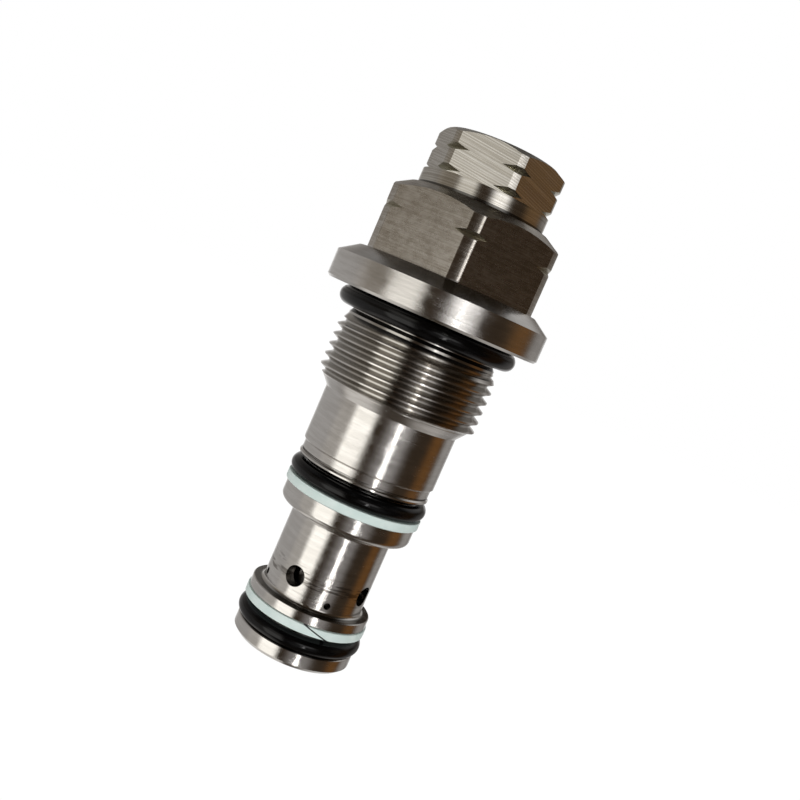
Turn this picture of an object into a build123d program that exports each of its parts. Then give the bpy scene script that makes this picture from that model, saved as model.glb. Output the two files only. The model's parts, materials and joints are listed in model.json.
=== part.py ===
from build123d import *
from math import cos, radians, sin, tan
import os

# Screw-in hydraulic relief cartridge. Millimetres, +Z along the valve's axis towards the hex end.
# The origin is the centre of the flange's underside, the face that seats on the manifold.
# The large hex has corners on +Y and -Y.

# ---------------------------------------------------------------- driving dimensions: outside

body_hex_af = 24.0
body_hex_top = 16.45
body_hex_foot = 5.7
body_corner_r = 13.4
body_crown_r = 10.45
body_crown_drop = 1.75
flange_r = 15.95
flange_h = 4.0
face_inner_r = 13.6
face_relief = 0.1
neck_r = 10.7
neck_end = -2.8
neck_cone_end = -3.3

thread_r = 12.0
thread_pitch = 1.5
thread_depth = 0.92
thread_root_r = thread_r - thread_depth
lead_in_r = 10.48
lead_in_z = -2.55
thread_top = -5.3
thread_end = -12.35
thread_cone_r = 11.3
thread_cone_z = -12.62

skirt_r = 10.0
skirt_top = -14.2
skirt_end = -22.25
skirt_chamfer = 0.15

nut_hex_af = 17.0
nut_turn = 15.35
nut_corner_r = 9.5
nut_collar_r = 9.42
nut_collar_top = 18.8
nut_top = 25.1
nut_crown_r = 8.2

mark_depth = 0.7
mark_half_width = 0.47
body_mark_z = 11.95
nut_mark_z = 22.28
nut_foot_mark_z = 19.3

collar_r = 9.7
collar_end = -23.55
relief_r = 9.4
lip_r = 9.9
lip_top = -23.72
lip_end = -24.35
middle_groove_r = 8.0
middle_groove_end = -28.42
shoulder_r = 9.85
shoulder_end = -30.38
shoulder_turn = 1.0
waist_r = 7.54
waist_top = -31.58
waist_fillet = 0.5
land_r = 9.0
land_top = -43.3
land_end = -44.83
nose_groove_r = 7.05
nose_groove_end = -49.05
tip_r = 8.9
tip_foot_r = 8.3
nose_end = -51.4

port_turn = -26.35
port_count = 4
port_r = 1.5
port_z = -39.8
bleed_r = 0.5
bleed_z = -41.9

flange_cord = 2.7
flange_ring_z = face_relief / 2 - flange_cord / 2
middle_cord = 2.4
nose_cord = 2.4
middle_ring_z = -25.92
nose_ring_z = -47.83
backup_h = 1.25
middle_backup_top = -27.14
middle_backup_r = 10.2
middle_backup_cut = 70
nose_backup_top = -44.85
nose_backup_r = 9.2
nose_backup_cut = -74.35

# ---------------------------------------------------------------- driving dimensions: inside

screw_r = 5.0
screw_top = 24.0
screw_shoulder = 8.0
screw_foot = 2.5
socket_af = 5.0
socket_depth = 4.5
chamber_r = 6.5
chamber_top = 9.5
spigot_r = 8.0
seat_top = -17.0
seat_flange_end = -18.5
seat_end = -26.0
bore_r = 5.5
inlet_r = 4.5
bore_end = -43.2
valve_seat_z = -43.57
drain_r = 0.5
drain_circle_r = 6.52
adjuster_groove_foot = 3.6
adjuster_groove_top = 6.9
adjuster_groove_r = 5.0
adjuster_ring_z = 4.55
adjuster_cord = 1.78

shim_h = 0.5
spring_seat_h = 1.5
pilot_spring_top = screw_foot - spring_seat_h - 2 * shim_h
pilot_spring_foot = -15.0
pilot_spring_r = 4.2
pilot_wire = 1.6
pilot_coils = 7
pilot_guide_r = 3.0
pilot_hole_r = 1.0
pilot_hole_top = -20.6
strainer_r = 2.4
strainer_h = 1.0
pilot_seal_top = -21.1
pilot_seal_foot = -22.9
pilot_seal_r = 4.3
pilot_cord = 1.4

poppet_top = -31.2
poppet_floor = -40.0
poppet_foot = -44.3
poppet_cup_r = 3.9
poppet_guide_end = -37.4
poppet_stem_r = 4.85
main_spring_r = 3.2
main_wire = 1.0
main_coils = 9
orifice_screw_r = 2.0
orifice_r = 0.4

running = 0.03
thread_gap = 0.05
contact_gap = 0.02
edge = 0.3


# ---------------------------------------------------------------- helpers

def profile(*points):
    """Closed half-section through (radius, height) points, in the XZ plane."""
    with BuildSketch(Plane.XZ) as section:
        with BuildLine():
            Polyline(*points, close=True)
        make_face()
    return section.sketch


def seal_section(height, cord, inner_r, outer_r=None):
    """Round cord lying on a seat of radius inner_r, flattened slightly where it touches."""
    press = 0.04
    centre_r = inner_r + cord / 2 - press
    reach = outer_r if outer_r else centre_r + cord
    with BuildSketch(Plane.XZ) as section:
        with Locations((centre_r, height)):
            Circle(cord / 2)
        with Locations(((inner_r + reach) / 2, height)):
            Rectangle(reach - inner_r, 2 * cord, mode=Mode.INTERSECT)
    return section.sketch


def hex_flats(across_flats, round_r, turn, low, high):
    """Solid to take away from a round blank so that it keeps six flats between two heights."""
    with BuildPart() as waste:
        with BuildSketch(Plane.XY.offset(low)):
            Circle(round_r + 1)
            RegularPolygon(across_flats / 2, 6, major_radius=False, rotation=turn, mode=Mode.SUBTRACT)
        extrude(amount=high - low)
    return waste.part


def corner_mark(corner_r, z):
    """Three points of a turned V mark that shows only on the corners of a hex."""
    return ((corner_r, z + mark_half_width), (corner_r - mark_depth, z), (corner_r, z - mark_half_width))


def backup_ring(top, inner_r, outer_r, cut_turn):
    """Flat PTFE ring with a slanting cut through it, so that it can be sprung over a land."""
    cut_width = 0.12
    cut_slope = 19.5
    turn, slope = radians(cut_turn), radians(cut_slope)
    cut_plane = Plane((0, 0, top - backup_h / 2), x_dir=(cos(turn), sin(turn), 0),
                      z_dir=(-sin(turn) * sin(slope), cos(turn) * sin(slope), cos(slope)))
    with BuildPart() as ring:
        revolve(profile((inner_r, top), (outer_r - 0.06, top), (outer_r, top - 0.06),
                        (outer_r, top - backup_h + 0.06), (outer_r - 0.06, top - backup_h),
                        (inner_r, top - backup_h)), axis=Axis.Z)
        with BuildSketch(cut_plane):
            with Locations(((inner_r + outer_r) / 2, 0)):
                Rectangle(outer_r - inner_r + 2, 3 * backup_h / sin(slope))
        extrude(amount=cut_width / 2, both=True, mode=Mode.SUBTRACT)
    return ring.part


def coil_spring(foot, top, mean_r, wire, coils):
    """Compression spring with one closed coil at each end, ground flat."""
    closed_rise = wire * 1.02
    low, high = foot + wire * 0.2, top - wire * 0.2
    open_coils = coils - 2
    open_rise = (high - low - 2 * closed_rise) / open_coils
    with BuildPart() as spring:
        with BuildLine() as path:
            Helix(closed_rise, closed_rise, mean_r, center=(0, 0, low))
            Helix(open_rise, open_rise * open_coils, mean_r, center=(0, 0, low + closed_rise))
            Helix(closed_rise, closed_rise, mean_r, center=(0, 0, high - closed_rise))
        with BuildSketch(Plane(path.line @ 0, z_dir=path.line % 0)):
            Circle(wire / 2)
        sweep(path=path.line, is_frenet=True)
        with BuildSketch(Plane.XY.offset(foot)):
            Circle(mean_r + wire)
        extrude(amount=top - foot, mode=Mode.INTERSECT)
    return spring.part


def save(piece, name):
    """Label a finished piece and write its STEP file."""
    piece.label = name
    export_step(piece, f"parts/{name}.step")


# ---------------------------------------------------------------- body and sleeve

def make_plug_body():
    """Large hex, flange, external thread and skirt, bored through for the adjuster and pilot stage."""
    mouth = 0.6
    flange_edge = 0.35
    cone_slope = (thread_cone_z - skirt_top) / (thread_cone_r - skirt_r)
    thread_root_end = skirt_top + (thread_root_r - skirt_r) * cone_slope
    section = profile(
        (screw_r + mouth, body_hex_top), (body_crown_r, body_hex_top),
        (body_corner_r, body_hex_top - body_crown_drop), *corner_mark(body_corner_r, body_mark_z),
        (body_corner_r, body_hex_foot), (flange_r, flange_h), (flange_r, flange_edge),
        (flange_r - flange_edge, 0), (face_inner_r, 0), (face_inner_r, face_relief),
        (neck_r, face_relief), (neck_r, neck_end), (thread_root_r, neck_cone_end),
        (thread_root_r, thread_root_end), (skirt_r, skirt_top),
        (skirt_r, skirt_end + skirt_chamfer), (skirt_r - skirt_chamfer, skirt_end),
        (spigot_r + edge, skirt_end), (spigot_r, skirt_end + edge), (spigot_r, seat_top),
        (chamber_r, seat_top), (chamber_r, chamber_top - edge), (chamber_r - edge, chamber_top),
        (screw_r, chamber_top), (screw_r, body_hex_top - mouth))
    with BuildPart() as plug_body:
        revolve(section, axis=Axis.Z)
        add(hex_flats(body_hex_af, flange_r, 30, body_hex_foot, body_hex_top + 1), mode=Mode.SUBTRACT)
        add(mounting_thread())
    return plug_body.part


def mounting_thread():
    """Right-hand external thread as one helical ridge, its ends turned down to cones."""
    start = -13.8
    rise = 11.4
    embed = 0.1
    crest_w = thread_pitch / 8
    foot_w = crest_w + 2 * (thread_depth + embed) * tan(radians(30))
    blank_r = thread_r + 0.02
    deep_r = thread_root_r - 2 * embed
    blank = profile((skirt_r, lead_in_z), (lead_in_r, lead_in_z), (blank_r, thread_top),
                    (blank_r, thread_end), (thread_cone_r, thread_cone_z),
                    (deep_r, thread_cone_z - (thread_cone_r - deep_r)), (skirt_r, thread_cone_z - 1))
    with BuildPart() as thread:
        with BuildLine() as path:
            Helix(thread_pitch, rise, thread_root_r - embed, center=(0, 0, start))
        with BuildSketch(Plane(path.line @ 0, x_dir=(1, 0, 0), z_dir=path.line % 0)):
            with BuildLine():
                Polyline((0, -foot_w / 2), (thread_depth + embed, -crest_w / 2),
                         (thread_depth + embed, crest_w / 2), (0, foot_w / 2), close=True)
            make_face()
        sweep(path=path.line, is_frenet=True)
        revolve(blank, axis=Axis.Z, mode=Mode.INTERSECT)
    return thread.part


def make_sleeve():
    """Ported sleeve: spigot in the skirt, two seal grooves, waist with the ports, seat and open nose."""
    bevel = 0.12
    bead = 0.2
    foot_fillet = 0.6
    mouth = 0.5
    with BuildSketch(Plane.XZ) as section:
        with BuildLine():
            Polyline((bore_r + edge, seat_flange_end), (spigot_r - edge, seat_flange_end),
                     (spigot_r, seat_flange_end - edge), (spigot_r, skirt_end), (collar_r - bevel, skirt_end),
                     (collar_r, skirt_end - bevel), (collar_r, collar_end + bevel),
                     (collar_r - bevel, collar_end), (relief_r, collar_end), (relief_r, lip_top))
            Polyline((relief_r, lip_top), (lip_r - bead, lip_top), (lip_r, lip_top - bead),
                     (lip_r, lip_end + bead), (lip_r - bead, lip_end), (middle_groove_r, lip_end),
                     (middle_groove_r, middle_groove_end), (shoulder_r - bevel, middle_groove_end),
                     (shoulder_r, middle_groove_end - bevel), (shoulder_r, shoulder_end))
            RadiusArc((shoulder_r, shoulder_end),
                      (shoulder_r - shoulder_turn, shoulder_end - shoulder_turn), shoulder_turn)
            Polyline((shoulder_r - shoulder_turn, shoulder_end - shoulder_turn),
                     (waist_r + waist_fillet, waist_top))
            RadiusArc((waist_r + waist_fillet, waist_top), (waist_r, waist_top - waist_fillet),
                      -waist_fillet)
            Line((waist_r, waist_top - waist_fillet), (waist_r, land_top + foot_fillet))
            RadiusArc((waist_r, land_top + foot_fillet), (waist_r + foot_fillet, land_top), -foot_fillet)
            Polyline((waist_r + foot_fillet, land_top), (land_r - bevel, land_top),
                     (land_r, land_top - bevel), (land_r, land_end + bevel), (land_r - bevel, land_end),
                     (nose_groove_r, land_end),
                     (nose_groove_r, nose_groove_end), (tip_r - bevel, nose_groove_end),
                     (tip_r, nose_groove_end - bevel), (tip_r, nose_end + 0.55), (tip_foot_r, nose_end),
                     (inlet_r + mouth, nose_end), (inlet_r, nose_end + mouth), (inlet_r, valve_seat_z),
                     (bore_r, bore_end), (bore_r, seat_flange_end - edge), (bore_r + edge, seat_flange_end))
        make_face()
    with BuildPart() as sleeve:
        revolve(section.sketch, axis=Axis.Z)
        for radius, height, turn in ((port_r, port_z, 0), (bleed_r, bleed_z, 45)):
            for k in range(port_count):
                with BuildSketch(radial_plane(port_turn + turn + k * 90, height)):
                    Circle(radius)
                extrude(amount=waist_r + 1, mode=Mode.SUBTRACT)
        with BuildSketch(Plane.XY.offset(seat_flange_end)):
            with Locations(*drain_points()):
                Circle(drain_r)
        extrude(amount=port_z - seat_flange_end, mode=Mode.SUBTRACT)
    return sleeve.part


def radial_plane(turn, height):
    """Plane on the axis at a height, facing outwards at an angle from +X."""
    return Plane((0, 0, height), x_dir=(0, 0, 1), z_dir=(cos(radians(turn)), sin(radians(turn)), 0))


def drain_points():
    """Centres of the two lengthwise drain holes, each above one of the rear ports."""
    turns = (port_turn + 90, port_turn + 180)
    return [(drain_circle_r * cos(radians(t)), drain_circle_r * sin(radians(t))) for t in turns]


# ---------------------------------------------------------------- adjuster

def make_lock_nut():
    """Small hex with a collar, locking the adjusting screw."""
    mouth = 0.6
    lip = 0.15
    seal_r, seal_h = 6.75, 1.9
    crown_drop = (nut_corner_r - nut_crown_r) * tan(radians(30))
    section = profile(
        (screw_r + mouth, nut_top), (nut_crown_r, nut_top), (nut_corner_r, nut_top - crown_drop),
        *corner_mark(nut_corner_r, nut_mark_z), *corner_mark(nut_corner_r, nut_foot_mark_z),
        (nut_corner_r, nut_collar_top), (nut_collar_r, nut_collar_top),
        (nut_collar_r, body_hex_top + lip), (nut_collar_r - lip, body_hex_top), (seal_r, body_hex_top),
        (seal_r, body_hex_top + seal_h), (screw_r, body_hex_top + seal_h), (screw_r, nut_top - mouth))
    with BuildPart() as lock_nut:
        revolve(section, axis=Axis.Z)
        add(hex_flats(nut_hex_af, nut_corner_r, 30 + nut_turn, nut_collar_top, nut_top + 1),
            mode=Mode.SUBTRACT)
    return lock_nut.part


def make_lock_nut_seal():
    """O-ring in the nut's counterbore, round the adjusting screw."""
    with BuildPart() as lock_nut_seal:
        revolve(seal_section(body_hex_top + 0.92, 1.78, screw_r - 0.02, 6.73), axis=Axis.Z)
    return lock_nut_seal.part


def make_adjusting_screw():
    """Sealed adjusting screw: threaded stem with a hex socket above, piston with a seal groove below."""
    stem_r = screw_r - thread_gap
    piston_r = chamber_r - 2 * running
    tip = 0.6
    section = profile(
        (0, screw_top), (stem_r - tip, screw_top), (stem_r, screw_top - tip), (stem_r, screw_shoulder),
        (piston_r - edge, screw_shoulder), (piston_r, screw_shoulder - edge),
        (piston_r, adjuster_groove_top), (adjuster_groove_r, adjuster_groove_top),
        (adjuster_groove_r, adjuster_groove_foot), (piston_r, adjuster_groove_foot),
        (piston_r, screw_foot + edge), (piston_r - edge, screw_foot), (0, screw_foot))
    with BuildPart() as adjusting_screw:
        revolve(section, axis=Axis.Z)
        with BuildSketch(Plane.XY.offset(screw_top)):
            RegularPolygon(socket_af / 2, 6, major_radius=False)
        extrude(amount=-socket_depth, mode=Mode.SUBTRACT)
        with BuildSketch(Plane.XY.offset(screw_top)):
            Circle(socket_af / 2 + 0.6)
        extrude(amount=-0.6, taper=45, mode=Mode.SUBTRACT)
    return adjusting_screw.part


def make_adjuster_o_ring():
    """Seal round the adjusting screw's piston, squeezed into the body's bore."""
    with BuildPart() as adjuster_o_ring:
        revolve(seal_section(adjuster_ring_z, adjuster_cord, adjuster_groove_r, chamber_r - running),
                axis=Axis.Z)
    return adjuster_o_ring.part


def make_adjuster_backup_ring():
    """Plain PTFE ring above the adjuster seal."""
    top = adjuster_groove_top - 0.05
    foot = top - 1.2
    outer_r = chamber_r - running
    with BuildPart() as adjuster_backup_ring:
        revolve(profile((adjuster_groove_r, foot), (outer_r, foot), (outer_r, top), (adjuster_groove_r, top)),
                axis=Axis.Z)
    return adjuster_backup_ring.part


# ---------------------------------------------------------------- pilot stage

def make_upper_spring_seat():
    """Button under the adjusting screw, with a spigot that centres the pilot spring."""
    rim_r = 5.9
    spigot = 2.9
    rim_foot = screw_foot - spring_seat_h
    spigot_foot = rim_foot - 4.0
    with BuildPart() as upper_spring_seat:
        revolve(profile((0, screw_foot), (rim_r - edge, screw_foot), (rim_r, screw_foot - edge),
                        (rim_r, rim_foot), (spigot, rim_foot), (spigot, spigot_foot + 0.6),
                        (spigot - 0.6, spigot_foot), (0, spigot_foot)), axis=Axis.Z)
    return upper_spring_seat.part


def make_spring_shims():
    """Two setting washers between the button and the pilot spring."""
    inner_r, outer_r = 3.05, 5.7
    with BuildPart() as spring_shims:
        for k in range(2):
            top = screw_foot - spring_seat_h - k * shim_h
            gap = 0.01 * k
            with BuildSketch(Plane.XY.offset(top - gap)):
                Circle(outer_r)
                Circle(inner_r, mode=Mode.SUBTRACT)
            extrude(amount=gap - shim_h)
    return spring_shims.part


def make_pilot_poppet():
    """Needle with a cone tip, a flatted guide and a flange that carries the pilot spring."""
    rim_r, rim_foot = 5.2, pilot_spring_foot - 1.4
    spigot, spigot_top = 2.9, pilot_spring_foot + 3.0
    guide_r = pilot_guide_r - running
    guide_foot = -19.2
    stem_r, point_r = 1.7, 0.35
    cone_slope = 1.37
    contact_z = pilot_hole_top + contact_gap
    cone_head = contact_z + (stem_r - pilot_hole_r) * cone_slope
    cone_foot = contact_z - (pilot_hole_r - point_r) * cone_slope
    flat = 2.35
    with BuildPart() as pilot_poppet:
        revolve(profile((0, spigot_top), (spigot - 0.5, spigot_top), (spigot, spigot_top - 0.5),
                        (spigot, pilot_spring_foot), (rim_r, pilot_spring_foot),
                        (rim_r, rim_foot), (guide_r, rim_foot), (guide_r, guide_foot),
                        (stem_r, guide_foot), (stem_r, cone_head), (point_r, cone_foot), (0, cone_foot)),
                axis=Axis.Z)
        for k in range(3):
            turn = radians(k * 120)
            face = Plane((flat * cos(turn), flat * sin(turn), rim_foot),
                         x_dir=(0, 0, -1), z_dir=(cos(turn), sin(turn), 0))
            with BuildSketch(face):
                Rectangle(rim_foot - guide_foot, 2 * guide_r, align=(Align.MIN, Align.CENTER))
            extrude(amount=1, mode=Mode.SUBTRACT)
    return pilot_poppet.part


def make_pilot_seat():
    """Stepped seat between body and sleeve: pilot hole, needle guide, seal groove, strainer pocket."""
    rim_r = spigot_r - 0.05
    plug_r = bore_r - 0.02
    guide_foot = pilot_hole_top + 0.3
    with BuildPart() as pilot_seat:
        revolve(profile(
            (pilot_guide_r + 0.3, seat_top), (rim_r - 0.2, seat_top), (rim_r, seat_top - 0.2),
            (rim_r, seat_flange_end), (plug_r, seat_flange_end), (plug_r, pilot_seal_top),
            (pilot_seal_r, pilot_seal_top), (pilot_seal_r, pilot_seal_foot), (plug_r, pilot_seal_foot),
            (plug_r, seat_end + edge), (plug_r - edge, seat_end),
            (strainer_r, seat_end), (strainer_r, seat_end + strainer_h + 0.6),
            (pilot_hole_r, seat_end + strainer_h + 2.0), (pilot_hole_r, pilot_hole_top),
            (pilot_guide_r, guide_foot), (pilot_guide_r, seat_top - 0.3)), axis=Axis.Z)
        for t in (port_turn + 90, port_turn + 180):
            notch = Plane((0, 0, seat_top), x_dir=(cos(radians(t)), sin(radians(t)), 0), z_dir=(0, 0, 1))
            with BuildSketch(notch):
                with Locations((5.7, 0)):
                    Rectangle(4, 1.4, align=(Align.MIN, Align.CENTER))
            extrude(amount=seat_flange_end - seat_top, mode=Mode.SUBTRACT)
    return pilot_seat.part


def make_pilot_seat_o_ring():
    """Seal between the pilot seat and the sleeve's bore."""
    with BuildPart() as pilot_seat_o_ring:
        revolve(seal_section((pilot_seal_top + pilot_seal_foot) / 2, pilot_cord, pilot_seal_r, bore_r),
                axis=Axis.Z)
    return pilot_seat_o_ring.part


def make_pilot_strainer():
    """Drilled disc pressed into the foot of the pilot seat."""
    with BuildPart() as pilot_strainer:
        with BuildSketch(Plane.XY.offset(seat_end)):
            Circle(strainer_r)
            Circle(0.25, mode=Mode.SUBTRACT)
            with PolarLocations(1.3, 6):
                Circle(0.25, mode=Mode.SUBTRACT)
        extrude(amount=strainer_h)
    return pilot_strainer.part


# ---------------------------------------------------------------- main stage

def make_main_poppet():
    """Cup that slides in the sleeve, with oil grooves and a slimmer stem whose cone shuts the inlet."""
    outer_r = bore_r - running
    slope = 1.0
    cone_top = valve_seat_z + (poppet_stem_r - inlet_r) * slope + contact_gap
    cone_foot_r = poppet_stem_r - (cone_top - poppet_foot) / slope
    grooves = []
    for z in (-33.0, -34.5, -36.0):
        grooves += [(outer_r, z + 0.15), (outer_r - 0.25, z + 0.15), (outer_r - 0.25, z - 0.15),
                    (outer_r, z - 0.15)]
    with BuildPart() as main_poppet:
        revolve(profile(
            (poppet_cup_r + edge, poppet_top), (outer_r - edge, poppet_top), (outer_r, poppet_top - edge),
            *grooves, (outer_r, poppet_guide_end), (poppet_stem_r, poppet_guide_end - edge),
            (poppet_stem_r, cone_top), (cone_foot_r, poppet_foot), (orifice_screw_r, poppet_foot),
            (orifice_screw_r, poppet_floor), (poppet_cup_r, poppet_floor), (poppet_cup_r, poppet_top - edge)),
            axis=Axis.Z)
    return main_poppet.part


def make_orifice_screw():
    """Slotted screw in the poppet's floor, drilled with the metering orifice."""
    foot, top = poppet_foot + 0.4, poppet_floor - 0.3
    with BuildPart() as orifice_screw:
        revolve(profile((orifice_r, top), (orifice_screw_r, top), (orifice_screw_r, foot + 0.2),
                        (orifice_screw_r - 0.2, foot), (orifice_r, foot)), axis=Axis.Z)
        with BuildSketch(Plane.XY.offset(foot)):
            Rectangle(4.5, 0.7)
        extrude(amount=0.8, mode=Mode.SUBTRACT)
    return orifice_screw.part


# ---------------------------------------------------------------- outside seals

def make_outside_seal(height, cord, groove_r):
    """O-ring lying on the floor of an outside groove."""
    with BuildPart() as seal:
        revolve(seal_section(height, cord, groove_r), axis=Axis.Z)
    return seal.part


# ---------------------------------------------------------------- build

os.makedirs("parts", exist_ok=True)

save(make_plug_body(), "plug_body")
save(make_sleeve(), "sleeve")
save(make_lock_nut(), "lock_nut")
save(make_lock_nut_seal(), "lock_nut_seal")
save(make_adjusting_screw(), "adjusting_screw")
save(make_adjuster_o_ring(), "adjuster_o_ring")
save(make_adjuster_backup_ring(), "adjuster_backup_ring")
save(make_upper_spring_seat(), "upper_spring_seat")
save(make_spring_shims(), "spring_shims")
save(coil_spring(pilot_spring_foot, pilot_spring_top, pilot_spring_r, pilot_wire, pilot_coils),
     "pilot_spring")
save(make_pilot_poppet(), "pilot_poppet")
save(make_pilot_seat(), "pilot_seat")
save(make_pilot_seat_o_ring(), "pilot_seat_o_ring")
save(make_pilot_strainer(), "pilot_strainer")
save(coil_spring(poppet_floor, seat_end, main_spring_r, main_wire, main_coils), "main_spring")
save(make_main_poppet(), "main_poppet")
save(make_orifice_screw(), "orifice_screw")
save(make_outside_seal(flange_ring_z, flange_cord, neck_r), "flange_o_ring")
save(make_outside_seal(middle_ring_z, middle_cord, middle_groove_r), "middle_o_ring")
save(make_outside_seal(nose_ring_z, nose_cord, nose_groove_r), "nose_o_ring")
save(backup_ring(middle_backup_top, middle_groove_r + thread_gap, middle_backup_r, middle_backup_cut),
     "middle_backup_ring")
save(backup_ring(nose_backup_top, nose_groove_r + thread_gap, nose_backup_r, nose_backup_cut),
     "nose_backup_ring")
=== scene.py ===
"""Looks of the hydraulic cartridge valve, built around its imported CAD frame. Lengths are in metres."""

import json
from math import cos, pi, radians, sin

import bmesh
import bpy
from mathutils import Matrix, Vector


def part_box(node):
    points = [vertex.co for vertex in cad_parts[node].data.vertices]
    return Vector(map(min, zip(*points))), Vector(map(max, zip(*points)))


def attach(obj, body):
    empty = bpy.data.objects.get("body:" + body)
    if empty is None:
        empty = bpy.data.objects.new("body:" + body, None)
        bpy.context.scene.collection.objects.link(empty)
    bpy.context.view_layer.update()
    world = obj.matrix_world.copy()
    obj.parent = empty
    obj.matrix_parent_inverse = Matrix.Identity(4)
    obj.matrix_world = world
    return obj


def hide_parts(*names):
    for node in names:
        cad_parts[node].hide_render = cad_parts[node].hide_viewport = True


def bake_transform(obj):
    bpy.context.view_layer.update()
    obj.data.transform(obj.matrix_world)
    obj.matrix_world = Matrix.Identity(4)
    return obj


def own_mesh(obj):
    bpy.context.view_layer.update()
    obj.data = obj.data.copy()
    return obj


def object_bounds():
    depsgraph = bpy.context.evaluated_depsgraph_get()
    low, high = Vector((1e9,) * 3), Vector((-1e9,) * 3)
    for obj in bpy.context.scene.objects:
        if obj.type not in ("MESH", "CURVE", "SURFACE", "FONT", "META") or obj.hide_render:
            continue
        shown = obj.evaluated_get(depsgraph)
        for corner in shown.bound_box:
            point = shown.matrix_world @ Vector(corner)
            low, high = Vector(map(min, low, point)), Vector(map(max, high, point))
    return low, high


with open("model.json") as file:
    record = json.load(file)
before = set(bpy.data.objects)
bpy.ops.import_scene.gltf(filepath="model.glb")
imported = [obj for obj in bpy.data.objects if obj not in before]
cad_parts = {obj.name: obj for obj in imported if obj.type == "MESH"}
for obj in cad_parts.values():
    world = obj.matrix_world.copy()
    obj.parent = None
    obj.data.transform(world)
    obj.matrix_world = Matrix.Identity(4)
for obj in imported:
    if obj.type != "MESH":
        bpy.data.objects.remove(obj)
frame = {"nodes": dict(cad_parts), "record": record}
cad_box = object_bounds()
nodes = frame["nodes"]

MM = 0.001
MILLIMETRES = 1000.0
DEGREES = 180 / pi

# Heights along the axis, in millimetres, where the finish of a piece changes.
NUT_COLLAR_TOP = 18.8
NUT_FOOT = 16.45
HEX_FOOT = 5.7
NECK_END = -2.8
THREAD_END = -12.45
PORT_Z = -39.8

# Heights of the V marks that are turned into the corners of the two hexes.
BODY_MARKS = (11.95,)
NUT_MARKS = (22.28, 19.3)

# Radii in millimetres: the thread's crests, and the turned facets on the corners of the two hexes.
THREAD_CREST_R = 12.0
HEX_CORNER_R = 13.4
NUT_CORNER_R = 9.5

# Degrees round the axis: from one corner of a hex to the next, and from +X to a corner of the lock nut.
CORNER_PITCH = 60.0
NUT_CORNER_TURN = 45.35
MILLING_PITCH = 0.34

# The slanting cut of each back-up ring: degrees round the axis from +X, and the height of its middle.
RING_CUTS = {"middle_backup_ring": (70.0, -27.765), "nose_backup_ring": (-74.35, -45.475)}
CUT_SLOPE = 19.5

# The camera looks at the valve from this side, and the studio's lights are placed round from it.
CAMERA_SIDE = radians(-91.65)
TOWARD_CAMERA = Vector((cos(CAMERA_SIDE), sin(CAMERA_SIDE), 0.0))
TO_ITS_RIGHT = Vector((-TOWARD_CAMERA.y, TOWARD_CAMERA.x, 0.0))


# ---------------------------------------------------------------- node graphs

# The Mix node names its colour sockets like its other ones, so they are picked by number.
MIX_A, MIX_B, MIX_RESULT = 6, 7, 2


def opaque(red, green, blue):
    return (red, green, blue, 1.0)


WHITE = opaque(1.0, 1.0, 1.0)


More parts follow.
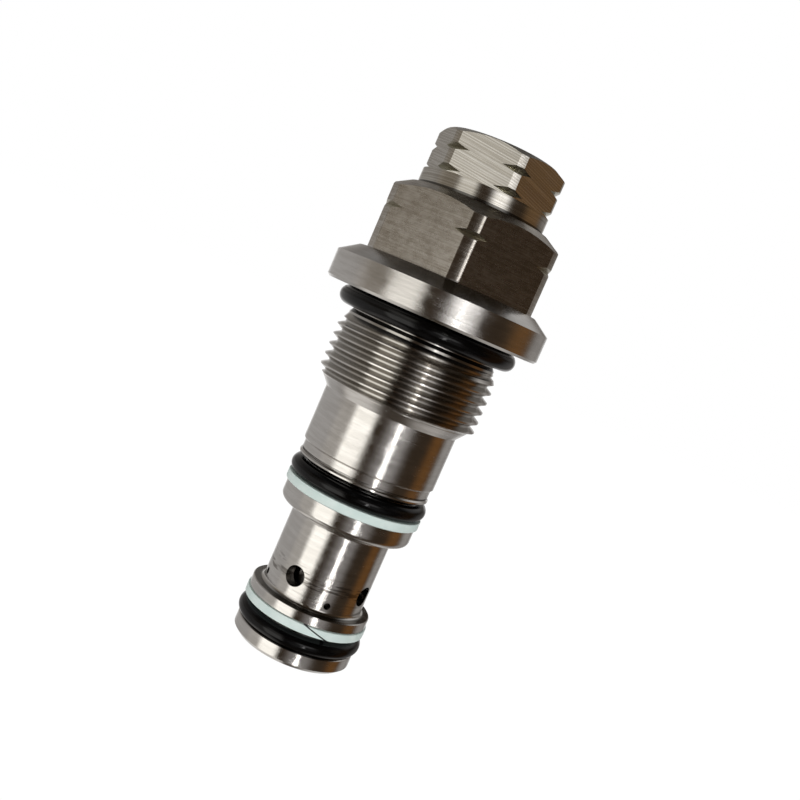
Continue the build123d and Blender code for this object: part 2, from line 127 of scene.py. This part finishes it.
class Graph:
    """Short calls for building one node tree."""

    def __init__(self, tree):
        self.tree = tree
        tree.nodes.clear()

    def add(self, kind, inputs=None, **settings):
        """A node with its settings, and its inputs from sockets or plain values."""
        node = self.tree.nodes.new(kind)
        for name, value in settings.items():
            setattr(node, name, value)
        for name, value in (inputs or {}).items():
            self.set(node.inputs[name], value)
        return node

    def set(self, socket, value):
        """Links a socket to another one, or gives it a plain value."""
        if isinstance(value, bpy.types.NodeSocket):
            self.tree.links.new(value, socket)
        else:
            socket.default_value = value

    def math(self, operation, *values):
        node = self.add("ShaderNodeMath", operation=operation)
        for socket, value in zip(node.inputs, values):
            self.set(socket, value)
        return node.outputs[0]

    def total(self, first, *others):
        """Sum of the values."""
        for value in others:
            first = self.math("ADD", first, value)
        return first

    def product(self, first, *others):
        """Product of the values."""
        for value in others:
            first = self.math("MULTIPLY", first, value)
        return first

    def vector(self, operation, *values):
        node = self.add("ShaderNodeVectorMath", operation=operation)
        for socket, value in zip(node.inputs, values):
            self.set(socket, value)
        return node.outputs["Value" if operation in ("DOT_PRODUCT", "LENGTH") else "Vector"]

    def combine(self, **parts):
        """A vector from the parts that are given, X, Y or Z."""
        return self.add("ShaderNodeCombineXYZ", inputs=parts).outputs["Vector"]

    def split(self, vector):
        """The sockets X, Y and Z of a vector."""
        return self.add("ShaderNodeSeparateXYZ", inputs={"Vector": vector}).outputs

    def scale(self, value, low, high, start=0.0, end=1.0, interpolation="LINEAR"):
        """Straight change from start at low to end at high."""
        node = self.add("ShaderNodeMapRange", interpolation_type=interpolation,
                        inputs={"Value": value, "From Min": low, "From Max": high,
                                "To Min": start, "To Max": end})
        return node.outputs["Result"]

    def step(self, value, low, high, start=0.0, end=1.0):
        """Smooth change from start at low to end at high."""
        return self.scale(value, low, high, start, end, interpolation="SMOOTHSTEP")

    def band(self, value, low, high, soft):
        """1 between low and high, falling to 0 over soft at each side."""
        rise = self.step(value, low - soft, low + soft)
        fall = self.step(value, high - soft, high + soft, 1.0, 0.0)
        return self.product(rise, fall)

    def degrees_of(self, operation, *values):
        """An inverse trigonometric operation's angle in degrees."""
        return self.product(self.math(operation, *values), DEGREES)

    def noise(self, vector, scale=1.0, detail=2.0, roughness=0.5, stretch=None):
        """Noise over a position, which is multiplied by stretch first."""
        if stretch:
            vector = self.vector("MULTIPLY", vector, stretch)
        node = self.add("ShaderNodeTexNoise",
                        inputs={"Vector": vector, "Scale": scale, "Detail": detail, "Roughness": roughness})
        return node.outputs["Fac"]

    def mix(self, factor, first, second):
        """From the first colour to the second one; each is a socket or red, green and blue."""
        node = self.add("ShaderNodeMix", data_type="RGBA")
        self.set(node.inputs["Factor"], factor)
        for socket, colour in ((MIX_A, first), (MIX_B, second)):
            self.set(node.inputs[socket], opaque(*colour) if isinstance(colour, tuple) else colour)
        return node.outputs[MIX_RESULT]

    def mix_shaders(self, factor, first, second):
        node = self.add("ShaderNodeMixShader", inputs={"Fac": factor})
        self.set(node.inputs[1], first.outputs[0])
        self.set(node.inputs[2], second.outputs[0])
        return node.outputs[0]

    def bump(self, height, depth, normal=None):
        """depth is the height in metres of a full step of the pattern."""
        node = self.add("ShaderNodeBump", inputs={"Height": height, "Distance": depth, "Strength": 1.0})
        if normal is not None:
            self.set(node.inputs["Normal"], normal)
        return node.outputs["Normal"]


def new_material(name):
    """A material with an empty graph, its Principled shader, and the position on the piece in millimetres."""
    material = bpy.data.materials.new(name)
    material.use_nodes = True
    graph = Graph(material.node_tree)
    output = graph.add("ShaderNodeOutputMaterial")
    shader = graph.add("ShaderNodeBsdfPrincipled")
    graph.set(output.inputs["Surface"], shader.outputs["BSDF"])
    position = graph.add("ShaderNodeTexCoord").outputs["Object"]
    return material, graph, shader, graph.vector("MULTIPLY", position, (MILLIMETRES,) * 3)


def finish(graph, shader, colour, roughness, metallic=0.0, normal=None):
    """Sets what every finish has."""
    graph.set(shader.inputs["Base Color"], colour)
    graph.set(shader.inputs["Roughness"], roughness)
    shader.inputs["Metallic"].default_value = metallic
    if normal is not None:
        graph.set(shader.inputs["Normal"], normal)


def shade(graph, colour, mask, share, dark):
    """Moves a colour towards a dark one where the mask is 1."""
    return graph.mix(graph.product(mask, share), colour, dark)


# ---------------------------------------------------------------- where a surface is


def from_axis(graph, position):
    """Distance from the valve's axis."""
    return graph.vector("LENGTH", graph.vector("MULTIPLY", position, (1.0, 1.0, 0.0)))


def facing_along(graph):
    """How much the surface faces along the axis, 0 on its sides and 1 on its end faces."""
    normal = graph.add("ShaderNodeTexCoord").outputs["Normal"]
    return graph.math("ABSOLUTE", graph.split(normal)["Z"])


def on_facets(graph, across, corner_r):
    """1 on the turned facets of a hex's corners and 0 on its flats."""
    return graph.step(across, corner_r - 0.05, corner_r - 0.02)


def marks_on_corners(graph, z, along, heights):
    """The V marks turned into a hex's corners, at these heights."""
    near = graph.total(*[graph.band(z, height - 0.5, height + 0.5, 0.05) for height in heights])
    return graph.product(near, graph.step(along, 0.3, 0.6))


# ---------------------------------------------------------------- patterns on metal


def turned_rings(graph, position, period, drift=0.05):
    """Tool marks round the axis, period apart along it, that drift slowly round the piece."""
    return graph.noise(position, detail=3.0, roughness=0.6, stretch=(drift, drift, 1.0 / period))


def satin_patches(graph, position, round_axis, along_axis):
    """Uneven plating, as patches of these inverse sizes."""
    return graph.noise(position, detail=5.0, roughness=0.6, stretch=(round_axis, round_axis, along_axis))


def scratches(graph, position, across=0.35, along=9.0):
    """A few fine handling scratches, nearly round the axis."""
    tilted = graph.add("ShaderNodeMapping", inputs={"Vector": position, "Rotation": (0.12, 0.08, 0.0),
                                                    "Scale": (across, across, along)}).outputs["Vector"]
    return graph.step(graph.noise(tilted, detail=1.0), 0.66, 0.72)


def speckle(graph, position, patches, size=0.1):
    """Satin grain that shows as sparkle beside a bright reflection, stronger in some patches."""
    grain = graph.noise(position, 1.0 / size, detail=2.0, roughness=0.65)
    level = graph.math("SUBTRACT", grain, 0.5)
    return graph.product(level, graph.step(patches, 0.38, 0.62, 0.25, 1.0))


def port_streaks(graph, position, z):
    """Dark broken lines round the waist, left by the drilling of the ports."""
    lines = turned_rings(graph, position, 0.3, drift=0.07)
    broken = graph.noise(position, detail=2.0, stretch=(0.45, 0.45, 2.5))
    near_ports = graph.product(graph.band(z, PORT_Z - 1.6, PORT_Z + 1.5, 0.9), graph.step(broken, 0.46, 0.56))
    return graph.product(near_ports, graph.step(lines, 0.48, 0.60))


def rolled_edges(graph, position, facets):
    """Height in millimetres of the rounding along one side of each facet on the body's hex."""
    corner_half = 3.6
    width, turned_in = 0.4, 0.15
    x, y, _ = graph.split(position)
    turn = graph.degrees_of("ARCTAN2", y, x)
    from_corner = graph.math("SUBTRACT", graph.math("FLOORED_MODULO", turn, CORNER_PITCH), CORNER_PITCH / 2)
    to_edge = graph.product(graph.math("SUBTRACT", corner_half, from_corner), HEX_CORNER_R * pi / 180)
    inside = graph.math("MAXIMUM", graph.math("SUBTRACT", width, graph.math("ABSOLUTE", to_edge)), 0.0)
    drop = graph.product(inside, inside, -turned_in / (2 * width))
    return graph.product(drop, facets)


def milling(graph, position, z):
    """Slanting milling marks that start anew on each of the nut's flats."""
    flat_r, slope = 9.0, 0.14
    x, y, _ = graph.split(position)
    past_corner = graph.math("SUBTRACT", graph.degrees_of("ARCTAN2", y, x), NUT_CORNER_TURN)
    flat = graph.math("FLOOR", graph.math("DIVIDE", past_corner, CORNER_PITCH))
    over_flat = graph.product(graph.math("FLOORED_MODULO", past_corner, CORNER_PITCH), flat_r * pi / 180)
    slant = graph.total(z, graph.product(over_flat, slope))
    stripes = graph.combine(X=graph.product(slant, 5.0), Y=graph.product(over_flat, 0.06),
                            Z=graph.product(flat, 3.7))
    drift = graph.noise(stripes, detail=1.5, roughness=0.5)
    cutter = graph.math("SINE", graph.total(graph.product(slant, 2 * pi / MILLING_PITCH), graph.product(drift, 7.0)))
    return graph.total(graph.product(cutter, 0.13), graph.product(drift, 0.9))


def brush_along_the_rings(graph, shader):
    """Marks that run round the axis spread a highlight along it."""
    shader.inputs["Anisotropic"].default_value = 0.55
    shader.inputs["Anisotropic Rotation"].default_value = 0.25
    tangent = graph.add("ShaderNodeTangent", direction_type="RADIAL", axis="Z")
    graph.set(shader.inputs["Tangent"], tangent.outputs["Tangent"])


# ---------------------------------------------------------------- metal finishes


def steel(name, light, dark, smooth, rough, period, grain):
    """Turned and plated steel: rings, satin patches, a light stain, a few scratches, and painted shade on the end
    faces.
    """
    stain = 0.35
    material, graph, shader, position = new_material(name)
    z = graph.split(position)["Z"]
    fine = turned_rings(graph, position, period)
    coarse = turned_rings(graph, position, period * 5.0, drift=0.12)
    patches = satin_patches(graph, position, 0.35, 0.6)
    tone = graph.total(graph.product(patches, stain), graph.product(coarse, 1.0 - stain))
    colour = graph.mix(graph.step(tone, 0.35, 0.68), dark, light)
    # Painted shade: faces that look along the axis, the end faces, are darkened in colour.
    colour = shade(graph, colour, graph.step(facing_along(graph), 0.8, 0.95), 0.85, (0.11, 0.105, 0.095))
    colour = shade(graph, colour, port_streaks(graph, position, z), 0.75, (0.20, 0.18, 0.16))
    satin = graph.total(graph.scale(patches, 0.3, 0.7, smooth, rough),
                        graph.product(scratches(graph, position), 0.08))
    height = graph.total(fine, graph.product(coarse, 1.5),
                         graph.product(speckle(graph, position, patches), grain))
    finish(graph, shader, colour, satin, 1.0, graph.bump(height, 1.6e-6))
    brush_along_the_rings(graph, shader)
    return material


def body_steel():
    """The body: brushed hex with turned facets, turned flange and skirt, and a thread whose roots are darkened with
    painted shade.
    """
    material, graph, shader, position = new_material("body_nickel_steel")
    z = graph.split(position)["Z"]
    across = from_axis(graph, position)
    on_hex = graph.step(z, HEX_FOOT, HEX_FOOT + 0.3)
    facets = graph.product(on_hex, on_facets(graph, across, HEX_CORNER_R))
    marks = marks_on_corners(graph, z, facing_along(graph), BODY_MARKS)
    on_thread = graph.band(z, THREAD_END, NECK_END, 0.15)
    # Painted shade in the thread: 1 in the roots and low flanks, 0 on the crests.
    painted_root_shade = graph.product(on_thread, graph.step(across, THREAD_CREST_R - 0.35, THREAD_CREST_R - 0.02, 1.0, 0.0))

    fine = turned_rings(graph, position, 0.14)
    coarse = turned_rings(graph, position, 0.7, drift=0.12)
    patches = satin_patches(graph, position, 0.4, 0.7)
    cloud = graph.noise(position, detail=6.0, roughness=0.7, stretch=(0.9, 0.9, 1.7))
    turned = graph.mix(graph.step(coarse, 0.35, 0.65), (0.70, 0.68, 0.65), (0.80, 0.78, 0.755))
    tone = graph.total(graph.product(fine, 0.5), graph.product(cloud, 0.5))
    brushed = graph.mix(graph.step(tone, 0.38, 0.62), (0.54, 0.495, 0.43), (0.78, 0.745, 0.69))
    colour = graph.mix(on_hex, turned, brushed)
    # Painted shade: the thread's roots and flanks are darkened in colour.
    colour = shade(graph, colour, painted_root_shade, 0.75, (0.42, 0.40, 0.37))
    colour = shade(graph, colour, marks, 0.35, (0.50, 0.49, 0.36))

    satin = graph.total(graph.scale(patches, 0.3, 0.7, 0.13, 0.22), graph.product(on_hex, 0.10),
                        graph.product(on_thread, -0.04), graph.product(facets, -0.12),
                        graph.product(scratches(graph, position), 0.08))
    height = graph.total(graph.product(fine, graph.scale(on_hex, 0.0, 1.0, 1.0, 2.4)),
                         graph.product(coarse, graph.scale(on_hex, 0.0, 1.0, 1.5, 0.3)),
                         graph.product(speckle(graph, position, patches), graph.scale(on_hex, 0.0, 1.0, 6.0, 4.0)))
    normal = graph.bump(rolled_edges(graph, position, facets), MM, graph.bump(height, 1.6e-6))
    finish(graph, shader, colour, satin, 1.0, normal)
    brush_along_the_rings(graph, shader)
    return material


def nut_steel():
    """The lock nut: slanting milling marks on its flats, turned facets, collar and top face, and a painted shadow
    round the collar's foot.
    """
    material, graph, shader, position = new_material("lock_nut_steel")
    z = graph.split(position)["Z"]
    across = from_axis(graph, position)
    along = facing_along(graph)
    on_top = graph.step(along, 0.9, 0.97)
    on_flats = graph.product(graph.step(z, NUT_COLLAR_TOP, NUT_COLLAR_TOP + 0.2),
                             graph.math("SUBTRACT", 1.0, on_top))
    facets = graph.product(on_flats, on_facets(graph, across, NUT_CORNER_R))
    # The foot of the collar, where it sits on the body: the band that gets a painted shadow.
    under = graph.step(z, NUT_FOOT + 0.42, NUT_FOOT + 0.56, 1.0, 0.0)

    outwards = graph.combine(Z=graph.product(across, on_top))
    rings = turned_rings(graph, graph.vector("ADD", position, outwards), 0.16)
    milled = milling(graph, position, z)
    patches = satin_patches(graph, position, 0.4, 0.7)
    tone = graph.mix(on_flats, rings, milled)
    colour = graph.mix(graph.step(tone, 0.36, 0.62), (0.60, 0.57, 0.51), (0.84, 0.82, 0.77))
    colour = shade(graph, colour, marks_on_corners(graph, z, along, NUT_MARKS), 0.45, (0.42, 0.41, 0.29))
    # Painted shadow: the collar's foot is darkened almost to black.
    colour = shade(graph, colour, under, 0.85, (0.05, 0.048, 0.045))

    satin = graph.total(graph.scale(patches, 0.3, 0.7, 0.14, 0.24), graph.product(on_flats, 0.08),
                        graph.product(facets, -0.10))
    height = graph.total(graph.product(rings, graph.math("SUBTRACT", 1.0, on_flats)),
                         graph.product(milled, on_flats, 6.0))
    finish(graph, shader, colour, satin, 1.0, graph.bump(height, 1.8e-6))
    brush_along_the_rings(graph, shader)
    return material


def black_oxide():
    """Black oxide with an oily sheen, worn to steel in specks."""
    material, graph, shader, position = new_material("black_oxide_steel")
    specks = graph.step(graph.noise(position, 2.2, detail=6.0, roughness=0.7), 0.64, 0.72)
    finish(graph, shader, graph.mix(specks, (0.13, 0.13, 0.14), (0.34, 0.33, 0.31)),
           graph.scale(specks, 0.0, 1.0, 0.38, 0.28), 0.85, graph.bump(turned_rings(graph, position, 0.2), 1.5e-6))
    return material


def brass():
    """Drilled brass disc, slightly tarnished."""
    material, graph, shader, position = new_material("brass_mesh")
    tarnish = graph.noise(position, 0.9, detail=5.0)
    finish(graph, shader, graph.mix(graph.step(tarnish, 0.4, 0.7), (0.78, 0.60, 0.27), (0.50, 0.36, 0.16)),
           graph.scale(tarnish, 0.3, 0.7, 0.22, 0.4), 1.0)
    return material


def spring_steel():
    """Shot-peened spring wire, dark and oily."""
    material, graph, shader, position = new_material("spring_steel")
    dimples = graph.noise(position, 7.0, detail=3.0, roughness=0.6)
    finish(graph, shader, graph.mix(graph.step(dimples, 0.4, 0.65), (0.30, 0.295, 0.29), (0.44, 0.43, 0.42)),
           graph.scale(dimples, 0.3, 0.7, 0.3, 0.45), 1.0, graph.bump(dimples, 4.0e-6))
    return material


# ---------------------------------------------------------------- seals


def nitrile():
    """Moulded black rubber, oiled: smooth with faint grain and a few smears."""
    material, graph, shader, position = new_material("nitrile_rubber")
    grain = graph.noise(position, 6.0, detail=3.0)
    smear = graph.noise(position, detail=4.0, roughness=0.6, stretch=(0.25, 0.25, 1.6))
    finish(graph, shader,
           graph.mix(graph.step(smear, 0.45, 0.75), (0.0012, 0.0012, 0.0013), (0.005, 0.005, 0.0055)),
           graph.scale(smear, 0.35, 0.7, 0.08, 0.18), normal=graph.bump(grain, 3.0e-6))
    shader.inputs["Specular IOR Level"].default_value = 0.3
    return material


def ptfe(name, cut=None):
    """White PTFE: waxy, with faint turning marks, and dark oil in the slanting cut through the ring."""
    material, graph, shader, position = new_material(name)
    rings = turned_rings(graph, position, 0.25)
    cloud = graph.noise(position, 0.5, detail=3.0)
    colour = graph.mix(graph.step(cloud, 0.35, 0.7), (0.62, 0.73, 0.70), (0.70, 0.79, 0.76))
    if cut:
        colour = shade(graph, colour, oil_in_cut(graph, position, *cut), 0.95, (0.05, 0.05, 0.055))
    finish(graph, shader, colour, graph.scale(rings, 0.3, 0.7, 0.34, 0.46), normal=graph.bump(rings, 1.5e-6))
    shader.inputs["Subsurface Weight"].default_value = 0.12
    shader.inputs["Subsurface Radius"].default_value = (1.0, 1.0, 1.0)
    shader.inputs["Subsurface Scale"].default_value = 0.0004
    return material


def oil_in_cut(graph, position, turn, middle):
    """1 along a ring's slanting cut, turn degrees round from +X with its middle at this height."""
    turn, slope = radians(turn), radians(CUT_SLOPE)
    outward = (cos(turn), sin(turn), 0.0)
    across_cut = (-sin(turn) * sin(slope), cos(turn) * sin(slope), cos(slope))
    from_middle = graph.vector("SUBTRACT", position, (0.0, 0.0, middle))
    off = graph.math("ABSOLUTE", graph.vector("DOT_PRODUCT", from_middle, across_cut))
    this_side = graph.step(graph.vector("DOT_PRODUCT", position, outward), 0.0, 1.0)
    return graph.product(this_side, graph.step(off, 0.07, 0.13, 1.0, 0.0))


def dress_nodes():
    """Gives each CAD node its finish."""
    finishes = {
        "body_steel": body_steel(),
        "sleeve_steel": steel("sleeve_steel", (0.81, 0.79, 0.765), (0.70, 0.68, 0.65), 0.12, 0.24,
                              period=0.13, grain=5.0),
        "nut_steel": nut_steel(),
        "hardened_steel": steel("hardened_steel", (0.20, 0.195, 0.19), (0.12, 0.115, 0.11), 0.2, 0.34,
                                period=0.1, grain=0.6),
        "spring_steel": spring_steel(),
        "black_oxide_steel": black_oxide(),
        "brass_mesh": brass(),
        "nitrile": nitrile(),
        "ptfe_white": ptfe("ptfe_white"),
    }
    cut_rings = {name: ptfe(name + "_ptfe", cut) for name, cut in RING_CUTS.items()}
    for row in frame["record"]["subparts"]:
        mesh = nodes[row["node"]].data
        mesh.materials.clear()
        mesh.materials.append(cut_rings.get(row["node"], finishes[row["material_slot"]]))
    return finishes


# ---------------------------------------------------------------- springs


def coil_height(turn, turns, wire, length):
    """Height of the wire's centre after this many turns: the end coils are closed, the others evenly open."""
    closed = 1.0
    open_turns = turns - 2 * closed
    open_pitch = (length - wire * (2 * closed)) / open_turns
    if turn < closed:
        return turn * wire
    if turn > turns - closed:
        return length - (turns - turn) * wire
    return closed * wire + (turn - closed) * open_pitch


def spring(name, node, mean_r, wire, turns, part=(0.0, 1.0)):
    """A coil spring in its CAD node's place, with ground ends; part is the share of its turns that is made."""
    low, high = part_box(node)
    steps_per_turn, sides = 40, 14
    first, last = (round(share * turns * steps_per_turn) for share in part)
    mesh = bpy.data.meshes.new(name)
    shape = bmesh.new()
    rings = []
    for step in range(first, last + 1):
        turn = step / steps_per_turn
        angle = 2 * pi * turn
        centre_z = low.z + coil_height(turn, turns, wire, high.z - low.z)
        ring = []
        for side in range(sides):
            around = 2 * pi * side / sides
            reach = mean_r + wire / 2 * cos(around)
            z = min(max(centre_z + wire / 2 * sin(around), low.z), high.z)
            ring.append(shape.verts.new((reach * cos(angle), reach * sin(angle), z)))
        rings.append(ring)
    for ring, following in zip(rings, rings[1:]):
        for side in range(sides):
            beside = (side + 1) % sides
            shape.faces.new((ring[side], ring[beside], following[beside], following[side]))
    shape.faces.new(rings[0])
    shape.faces.new(list(reversed(rings[-1])))
    bmesh.ops.recalc_face_normals(shape, faces=shape.faces)
    for face in shape.faces:
        face.smooth = len(face.verts) == 4
    shape.to_mesh(mesh)
    shape.free()
    piece = bpy.data.objects.new(name, mesh)
    bpy.context.scene.collection.objects.link(piece)
    return piece


def make_springs(wire_finish):
    """Blender springs, because the CAD ones can't change length."""
    main = spring("main_spring_coil", "main_spring", mean_r=3.2 * MM, wire=1.0 * MM, turns=9)
    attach(main, "housing")
    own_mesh(main)
    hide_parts("main_spring")

    coil = {"mean_r": 4.2 * MM, "wire": 1.6 * MM, "turns": 7}
    upper = spring("pilot_spring_upper_coils", "pilot_spring", **coil, part=(0.5, 1.0))
    lower = spring("pilot_spring_lower_coils", "pilot_spring", **coil, part=(0.0, 0.5))
    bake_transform(upper)
    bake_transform(lower)
    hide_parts("pilot_spring")
    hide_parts("pilot_spring")
    for piece in (main, upper, lower):
        piece.data.materials.append(wire_finish)


# ---------------------------------------------------------------- stage, lights and camera

# Cards of light round the valve: degrees round from the camera (right is positive) at the two edges, softness of
# those edges, lowest and highest elevation in degrees, softness, colour and strength.
STUDIO = (
    ("room", -180, 180, 1, -90, 34, 12, (1.00, 0.67, 0.44), 0.024),
    ("left wall", -196, -84, 10, -42, 2, 5, (1.00, 1.00, 1.00), 0.34),
    ("left wall above", -185, -92, 16, 2, 22, 8, (1.00, 0.985, 0.96), 0.24),
    ("left wall, high up", -196, -92, 14, 24, 52, 10, (1.00, 0.99, 0.98), 0.19),
    ("left near side", -84, -52, 8, -42, -3, 4, (1.00, 0.98, 0.94), 0.41),
    ("left near side above", -92, -52, 10, -3, 22, 6, (1.00, 0.91, 0.77), 0.155),
    ("left near side, high up", -86, -34, 14, 28, 58, 10, (1.00, 0.96, 0.92), 0.06),
    ("left softbox", -54, -17, 5, -42, 0, 5, (1.00, 0.985, 0.94), 1.35),
    ("left softbox above", -49, -18, 6, 0, 24, 6, (1.00, 0.975, 0.92), 0.62),
    ("white table", -196, -50, 14, -78, -46, 8, (1.00, 0.98, 0.95), 0.62),
    ("white table, near side", -50, 95, 12, -90, -46, 8, (1.00, 0.96, 0.90), 0.03),
    ("white table, right side", 95, 164, 14, -78, -46, 8, (1.00, 0.98, 0.95), 0.36),
    ("right strip light", 23.2, 24.8, 1.0, -32, -3, 3, (1.00, 0.995, 0.985), 13.0),
    ("right strip glow", 5, 48, 12, -36, -2, 5, (0.99, 0.98, 1.00), 0.20),
    ("right strip through haze", 12.5, 41, 8, -3, 14, 3, (1.00, 0.99, 0.985), 1.35),
    ("wooden table edge", 88, 114, 10, -44, 3, 4, (1.00, 0.38, 0.04), 0.095),
    ("wooden wall above", 78, 120, 10, 3, 26, 5, (1.00, 0.58, 0.25), 0.10),
    ("right wall, high up", 112, 164, 12, 20, 48, 10, (1.00, 1.00, 1.00), 0.45),
    ("right backdrop", 120, 152, 10, -50, 4, 8, (1.00, 0.99, 0.98), 0.26),
    ("right backdrop above", 132, 170, 12, 4, 22, 8, (1.00, 0.96, 0.92), 0.13),
    ("bright backdrop", 157, 204, 8, -50, 8, 5, (1.00, 1.00, 1.00), 0.58),
    ("bright backdrop, left part", -204, -160, 8, -50, 8, 5, (1.00, 1.00, 1.00), 0.45),
    ("ceiling behind, left", -204, -148, 12, 54, 82, 8, (1.00, 0.99, 0.98), 0.24),
    ("ceiling behind, right", 148, 204, 12, 54, 82, 8, (1.00, 0.99, 0.98), 0.24),
)
STUDIO_SHADE = (0.012, 0.009, 0.006)


def light_studio():
    """Every light card in one environment; the camera itself sees plain white behind the valve."""
    world = bpy.data.worlds.new("studio")
    world.use_nodes = True
    bpy.context.scene.world = world
    graph = Graph(world.node_tree)
    direction = graph.add("ShaderNodeTexCoord").outputs["Generated"]
    ahead = graph.vector("DOT_PRODUCT", direction, tuple(TOWARD_CAMERA))
    aside = graph.vector("DOT_PRODUCT", direction, tuple(TO_ITS_RIGHT))
    azimuth = graph.degrees_of("ARCTAN2", aside, ahead)
    elevation = graph.degrees_of("ARCSINE", graph.split(direction)["Z"])
    light = STUDIO_SHADE
    for name, left, right, side_soft, low, high, level_soft, colour, strength in STUDIO:
        card = graph.add("ShaderNodeVectorMath", operation="SCALE", label=name)
        graph.set(card.inputs[0], tuple(channel * strength for channel in colour))
        graph.set(card.inputs["Scale"], graph.product(graph.band(azimuth, left, right, side_soft),
                                                      graph.band(elevation, low, high, level_soft)))
        light = graph.vector("ADD", light, card.outputs["Vector"])
    lit = graph.add("ShaderNodeBackground", inputs={"Color": light, "Strength": 1.0})
    plain = graph.add("ShaderNodeBackground", inputs={"Color": WHITE, "Strength": 1.0})
    seen = graph.add("ShaderNodeLightPath").outputs["Is Camera Ray"]
    output = graph.add("ShaderNodeOutputWorld")
    graph.set(output.inputs["Surface"], graph.mix_shaders(seen, lit, plain))


def area_light(name, azimuth, elevation, distance, size, power, colour):
    """A soft lamp that brightens the seals but doesn't show in the metal."""
    data = bpy.data.lights.new(name, "AREA")
    data.shape = "DISK"
    data.size = size
    data.energy = power
    data.color = colour
    lamp = bpy.data.objects.new(name, data)
    bpy.context.scene.collection.objects.link(lamp)
    turn = CAMERA_SIDE + radians(azimuth)
    tilt = radians(elevation)
    away = Vector((cos(turn) * cos(tilt), sin(turn) * cos(tilt), sin(tilt)))
    aim = Vector((0, 0, (cad_box[0].z + cad_box[1].z) / 2))
    lamp.location = aim + away * distance
    lamp.rotation_mode = "QUATERNION"
    lamp.rotation_quaternion = away.to_track_quat("Z", "Y")
    lamp.visible_glossy = False
    lamp.visible_camera = False


def make_floor():
    """A pale floor just under the nose, which fades into the white behind."""
    radius, gap = 1.2, 0.15 * MM
    fade_start, fade_end = 0.012, 0.15
    mesh = bpy.data.meshes.new("floor")
    shape = bmesh.new()
    bmesh.ops.create_circle(shape, cap_ends=True, radius=radius, segments=96)
    shape.to_mesh(mesh)
    shape.free()
    floor = bpy.data.objects.new("floor", mesh)
    floor.location.z = cad_box[0].z - gap
    bpy.context.scene.collection.objects.link(floor)
    floor.visible_glossy = False
    material = bpy.data.materials.new("pale_floor")
    material.use_nodes = True
    graph = Graph(material.node_tree)
    away = graph.vector("LENGTH", graph.add("ShaderNodeTexCoord").outputs["Object"])
    glow = graph.add("ShaderNodeEmission", inputs={"Color": WHITE, "Strength": 1.04})
    paper = graph.add("ShaderNodeBsdfDiffuse", inputs={"Color": opaque(0.9, 0.9, 0.9)})
    share = graph.step(away, fade_start, fade_end, 0.96, 1.0)
    output = graph.add("ShaderNodeOutputMaterial")
    graph.set(output.inputs["Surface"], graph.mix_shaders(share, paper, glow))
    mesh.materials.append(material)


def place_camera():
    """The camera: near the flange's height, close to the valve, rolled so that the hex end leans right."""
    distance, height = 138.5 * MM, 1.09 * MM
    pitch, aim_right, lean = radians(5.5), radians(0.205), radians(23.54)
    level = -TOWARD_CAMERA * cos(aim_right) + TO_ITS_RIGHT * sin(aim_right)
    ahead = level * cos(pitch) + Vector((0, 0, -sin(pitch)))
    right = level.cross(Vector((0, 0, 1)))
    up = right.cross(ahead)
    camera_right = right * cos(lean) + up * sin(lean)
    camera_up = up * cos(lean) - right * sin(lean)
    data = bpy.data.cameras.new("camera")
    data.lens = 43.97
    data.sensor_width = 36.0
    data.clip_start = 0.01
    camera = bpy.data.objects.new("camera", data)
    bpy.context.scene.collection.objects.link(camera)
    turned = Matrix((camera_right, camera_up, -ahead)).transposed().to_4x4()
    turned.translation = TOWARD_CAMERA * distance + Vector((0, 0, height))
    camera.matrix_world = turned
    bpy.context.scene.camera = camera
    bpy.context.scene.view_settings.view_transform = "Standard"


# ---------------------------------------------------------------- the scene

place_camera()
finishes = dress_nodes()
make_springs(finishes["spring_steel"])
light_studio()
area_light("soft_key", azimuth=-20, elevation=30, distance=0.55, size=0.35, power=1.1, colour=(0.98, 1.0, 0.98))
area_light("soft_fill", azimuth=60, elevation=20, distance=0.6, size=0.35, power=0.8, colour=(0.95, 1.0, 0.99))
area_light("soft_back", azimuth=180, elevation=40, distance=0.6, size=0.4, power=1.4, colour=(1.0, 1.0, 1.0))
make_floor()
